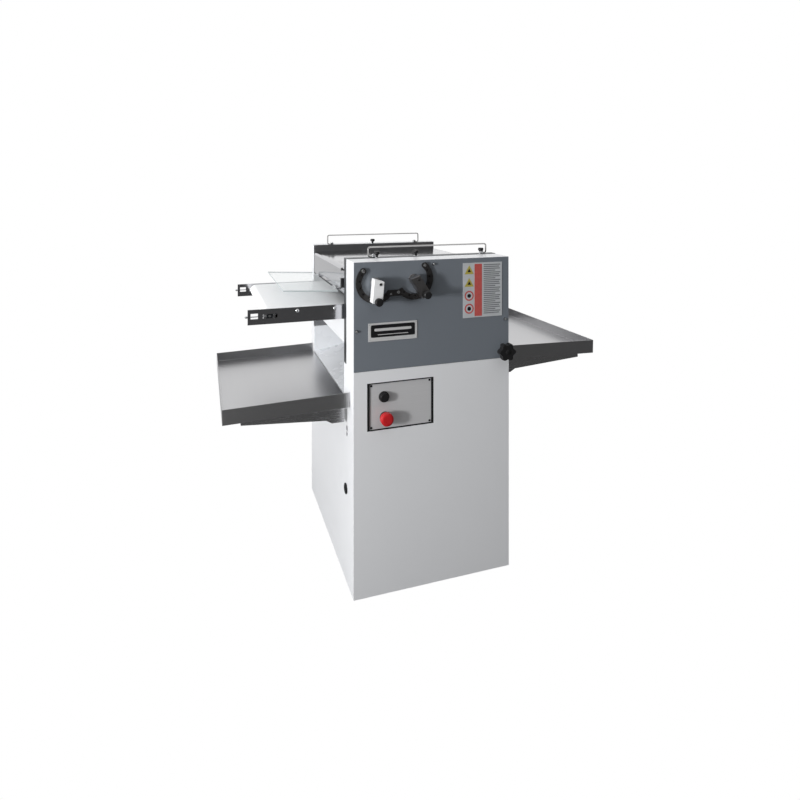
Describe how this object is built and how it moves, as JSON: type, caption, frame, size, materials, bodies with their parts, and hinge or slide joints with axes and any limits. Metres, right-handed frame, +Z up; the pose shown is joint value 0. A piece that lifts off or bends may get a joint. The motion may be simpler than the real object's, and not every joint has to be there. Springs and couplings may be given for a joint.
{
  "type": "dough sheeter",
  "caption": "Floor-standing dough sheeter with a belt infeed, paired rollers set by levers, a through chute and a hooked tray on each side.",
  "frame": {"origin": "centre of the cabinet floor's underside, on the ground", "axes": "+X along the operator's front face from the infeed belt to the right tray, +Y from the front face to the back, +Z up"},
  "size_m": [1.2756, 0.771, 1.062],
  "materials": {
    "white_paint": "satin white powder coat",
    "grey_paint": "satin grey paint",
    "black_paint": "satin black paint",
    "motor_paint": "blue-grey enamel",
    "stainless": "brushed stainless steel",
    "plate_steel": "dark brushed steel",
    "belt_fabric": "white food-grade belt",
    "clear_guard": "clear sheet",
    "black_plastic": "black moulded plastic",
    "red_plastic": "red moulded plastic",
    "label_plate": "satin anodised plate"
  },
  "bodies": {
    "machine": {"cabinet_shell": "white_paint", "cabinet_floor": "white_paint", "cabinet_back": "white_paint", "cable_gland": "black_plastic", "discharge_chute": "white_paint", "front_side_plate": "plate_steel", "rear_side_plate": "plate_steel", "front_cover": "white_paint", "front_panel": "grey_paint", "rear_cover": "white_paint", "hood": "stainless", "guard_switch": "black_plastic", "left_skirt": "white_paint", "tie_bar": "stainless", "conveyor_plate_front": "stainless", "conveyor_plate_rear": "stainless", "tension_screw_front": "stainless", "tension_screw_rear": "stainless", "conveyor_bed": "stainless", "infeed_belt": "belt_fabric", "scraper_1": "stainless", "scraper_2": "stainless", "transfer_plate": "stainless", "lever_quadrant": "black_paint", "gearbox": "motor_paint", "motor": "motor_paint", "drive_chain": "plate_steel", "front_rail": "stainless", "rear_rail": "stainless", "nameplate": "label_plate", "info_placard": "label_plate", "control_housing": "black_plastic", "control_plate": "label_plate"},
    "guard": {"infeed_guard": "clear_guard"},
    "belt_tensioner": {"tension_block_front": "plate_steel", "tension_block_rear": "plate_steel"},
    "nose_roller": {"nose_roller": "stainless"},
    "belt_drive_roller": {"belt_drive_roller": "stainless"},
    "lower_roller_1": {"lower_roller_1": "stainless"},
    "lower_roller_2": {"lower_roller_2": "stainless"},
    "gap_carriage_1": {"gap_block_1_front": "plate_steel", "gap_block_1_rear": "plate_steel"},
    "gap_carriage_2": {"gap_block_2_front": "plate_steel", "gap_block_2_rear": "plate_steel"},
    "upper_roller_1": {"upper_roller_1": "stainless"},
    "upper_roller_2": {"upper_roller_2": "stainless"},
    "lever_1": {"lever_shaft_1": "stainless", "lever_arm_1": "stainless"},
    "lever_2": {"lever_shaft_2": "stainless", "lever_arm_2": "stainless"},
    "lever_knob_1": {"lever_knob_1": "black_plastic"},
    "lever_knob_2": {"lever_knob_2": "black_plastic"},
    "drive_sprocket": {"drive_sprocket": "plate_steel"},
    "left_tray": {"left_tray": "stainless", "left_tray_frame": "stainless"},
    "right_tray": {"right_tray": "stainless", "right_tray_frame": "stainless"},
    "star_knob": {"star_knob": "black_plastic"},
    "push_button": {"push_button": "black_plastic"},
    "estop_button": {"estop_button": "red_plastic"}
  },
  "joints": [
    {"name": "rollers_turn", "type": "hinge", "parent": "machine", "child": "lower_roller_1", "pos_m": [-0.1717, 0, 0.846], "axis": [0, 1, 0], "continuous": true},
    {"name": "lower_roller_2_turn", "type": "hinge", "parent": "machine", "child": "lower_roller_2", "pos_m": [-0.0485, 0, 0.846], "axis": [0, 1, 0], "continuous": true},
    {"name": "upper_roller_1_turn", "type": "hinge", "parent": "gap_carriage_1", "child": "upper_roller_1", "pos_m": [-0.1717, 0, 0.91317], "axis": [0, 1, 0], "continuous": true},
    {"name": "upper_roller_2_turn", "type": "hinge", "parent": "gap_carriage_2", "child": "upper_roller_2", "pos_m": [-0.0485, 0, 0.91479], "axis": [0, 1, 0], "continuous": true},
    {"name": "belt_drive_turn", "type": "hinge", "parent": "machine", "child": "belt_drive_roller", "pos_m": [-0.23, 0, 0.851], "axis": [0, 1, 0], "continuous": true},
    {"name": "belt_tension", "type": "slide", "parent": "machine", "child": "belt_tensioner", "axis": [1, 0, 0], "range_m": [0, 0.01]},
    {"name": "nose_roller_turn", "type": "hinge", "parent": "belt_tensioner", "child": "nose_roller", "pos_m": [-0.5005, 0, 0.8535], "axis": [0, 1, 0], "continuous": true},
    {"name": "drive_sprocket_turn", "type": "hinge", "parent": "machine", "child": "drive_sprocket", "pos_m": [-0.115, -0.2765, 0.105], "axis": [0, 1, 0], "continuous": true},
    {"name": "lever_1_turn", "type": "hinge", "parent": "machine", "child": "lever_1", "pos_m": [-0.1957, -0.3955, 0.961], "axis": [0, -1, 0], "range_deg": [-115, 45]},
    {"name": "lever_2_turn", "type": "hinge", "parent": "machine", "child": "lever_2", "pos_m": [-0.0725, -0.3955, 0.9667], "axis": [0, -1, 0], "range_deg": [-72.2, 87.8]},
    {"name": "gap_1_slide", "type": "slide", "parent": "machine", "child": "gap_carriage_1", "axis": [0, 0, 1], "range_m": [-0.00267, 0.00682]},
    {"name": "gap_2_slide", "type": "slide", "parent": "machine", "child": "gap_carriage_2", "axis": [0, 0, 1], "range_m": [-0.00428, 0.00521]},
    {"name": "lever_knob_1_pull", "type": "slide", "parent": "lever_1", "child": "lever_knob_1", "axis": [0, -1, 0], "range_m": [0, 0.006], "stiffness_N_per_m": 600, "springref_m": -0.002},
    {"name": "lever_knob_2_pull", "type": "slide", "parent": "lever_2", "child": "lever_knob_2", "axis": [0, -1, 0], "range_m": [0, 0.006], "stiffness_N_per_m": 600, "springref_m": -0.002},
    {"name": "guard_swing", "type": "hinge", "parent": "machine", "child": "guard", "pos_m": [-0.2705, 0.0365, 0.9135], "axis": [0, 1, 0], "range_deg": [0, 75]},
    {"name": "left_tray_lift", "type": "slide", "parent": "machine", "child": "left_tray", "axis": [0, 0, 1], "range_m": [0, 0.01]},
    {"name": "right_tray_lift", "type": "slide", "parent": "machine", "child": "right_tray", "axis": [0, 0, 1], "range_m": [0, 0.01]},
    {"name": "star_knob_turn", "type": "hinge", "parent": "machine", "child": "star_knob", "pos_m": [0.2435, -0.3555, 0.7165], "axis": [0, 1, 0], "continuous": true},
    {"name": "push_button_press", "type": "slide", "parent": "machine", "child": "push_button", "axis": [0, 1, 0], "range_m": [0, 0.004], "stiffness_N_per_m": 400, "springref_m": -0.002},
    {"name": "estop_press", "type": "slide", "parent": "machine", "child": "estop_button", "axis": [0, 1, 0], "range_m": [0, 0.005], "stiffness_N_per_m": 800, "springref_m": -0.002}
  ],
  "couplings": [
    {"joint": "lower_roller_2_turn", "follows": "rollers_turn", "ratio": 1},
    {"joint": "upper_roller_1_turn", "follows": "rollers_turn", "ratio": -1},
    {"joint": "upper_roller_2_turn", "follows": "rollers_turn", "ratio": -1},
    {"joint": "belt_drive_turn", "follows": "rollers_turn", "ratio": 1.4},
    {"joint": "nose_roller_turn", "follows": "rollers_turn", "ratio": 1.6},
    {"joint": "drive_sprocket_turn", "follows": "rollers_turn", "ratio": 1},
    {"joint": "lever_1_turn", "follows": "gap_1_slide", "rad_per_m": -293.95},
    {"joint": "lever_2_turn", "follows": "gap_2_slide", "rad_per_m": 293.95}
  ]
}
